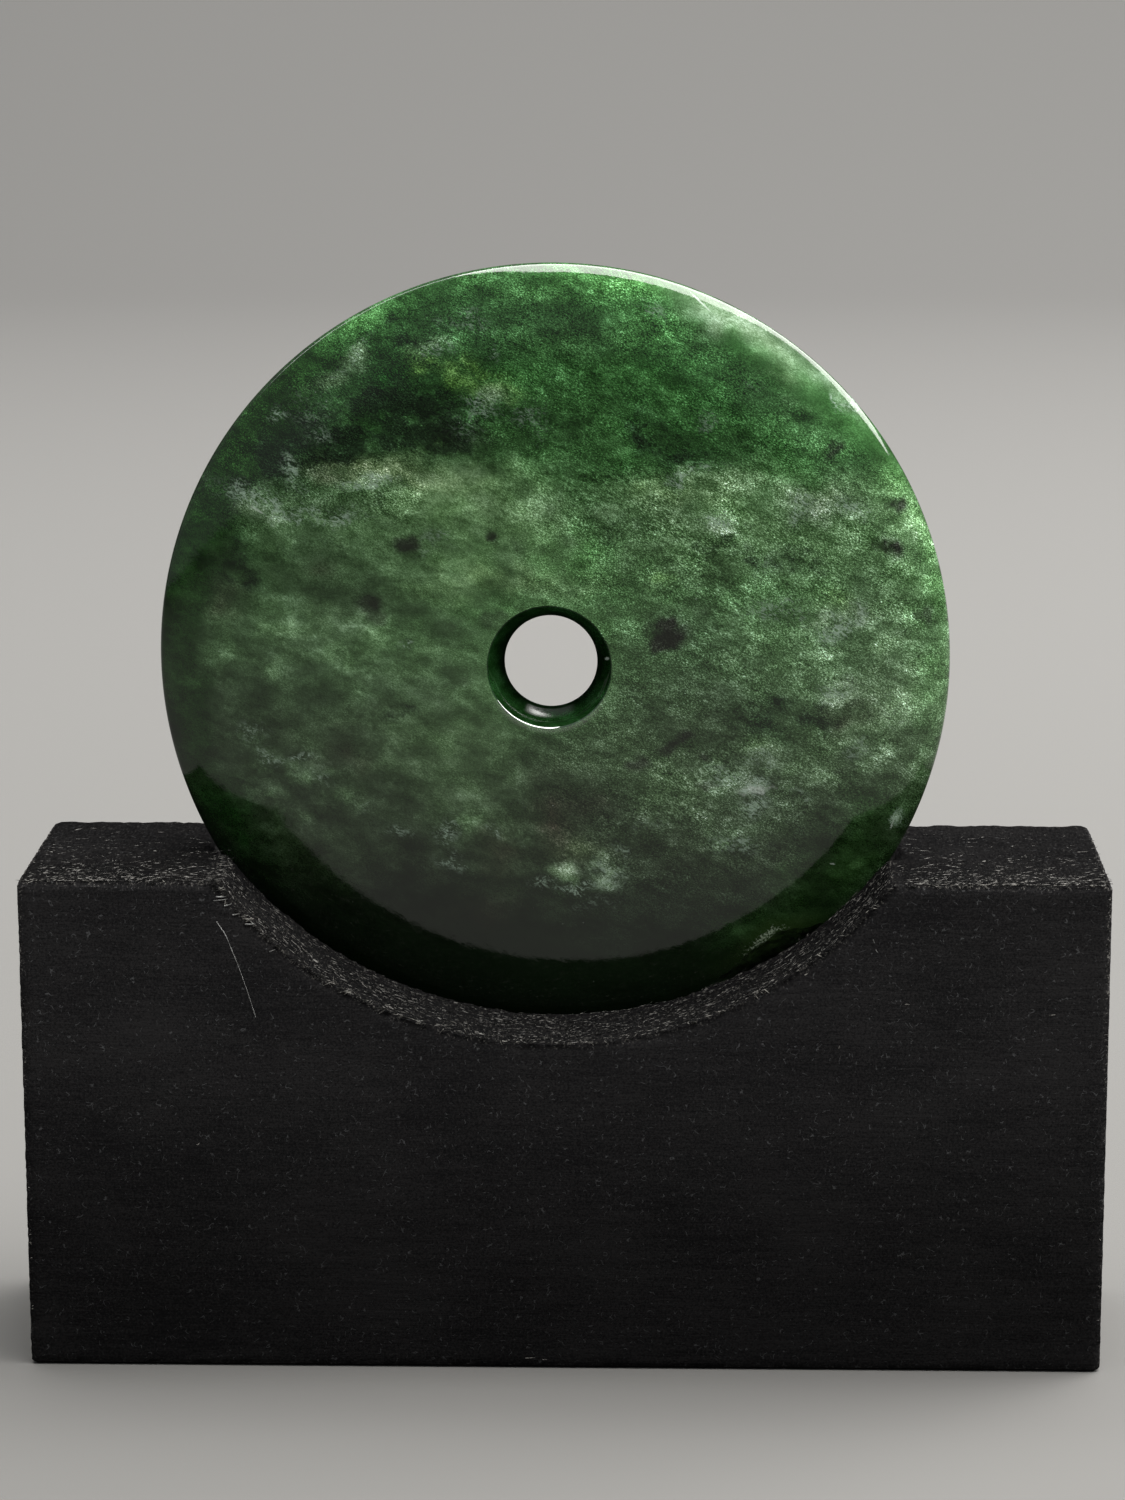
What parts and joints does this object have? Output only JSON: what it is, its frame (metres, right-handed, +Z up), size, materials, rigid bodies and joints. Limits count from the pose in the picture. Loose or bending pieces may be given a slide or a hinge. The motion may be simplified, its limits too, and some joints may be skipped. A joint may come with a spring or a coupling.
{
  "type": "greenstone disc",
  "caption": "Polished greenstone disc pierced by a tapered hole, standing upright in the slotted round cradle of a dark wooden stand.",
  "frame": {"origin": "middle of the wooden stand's underside, on the surface it stands on", "axes": "+Z up, the disc's face looks along -Y with a turn of 1.2 degrees towards -X, +X to the right as seen from the front"},
  "size_m": [0.0816, 0.0198, 0.083],
  "materials": {
    "greenstone": "polished",
    "stained_wood": "matte"
  },
  "bodies": {
    "root": {"greenstone_disc": "greenstone", "wooden_stand": "stained_wood"}
  },
  "joints": []
}
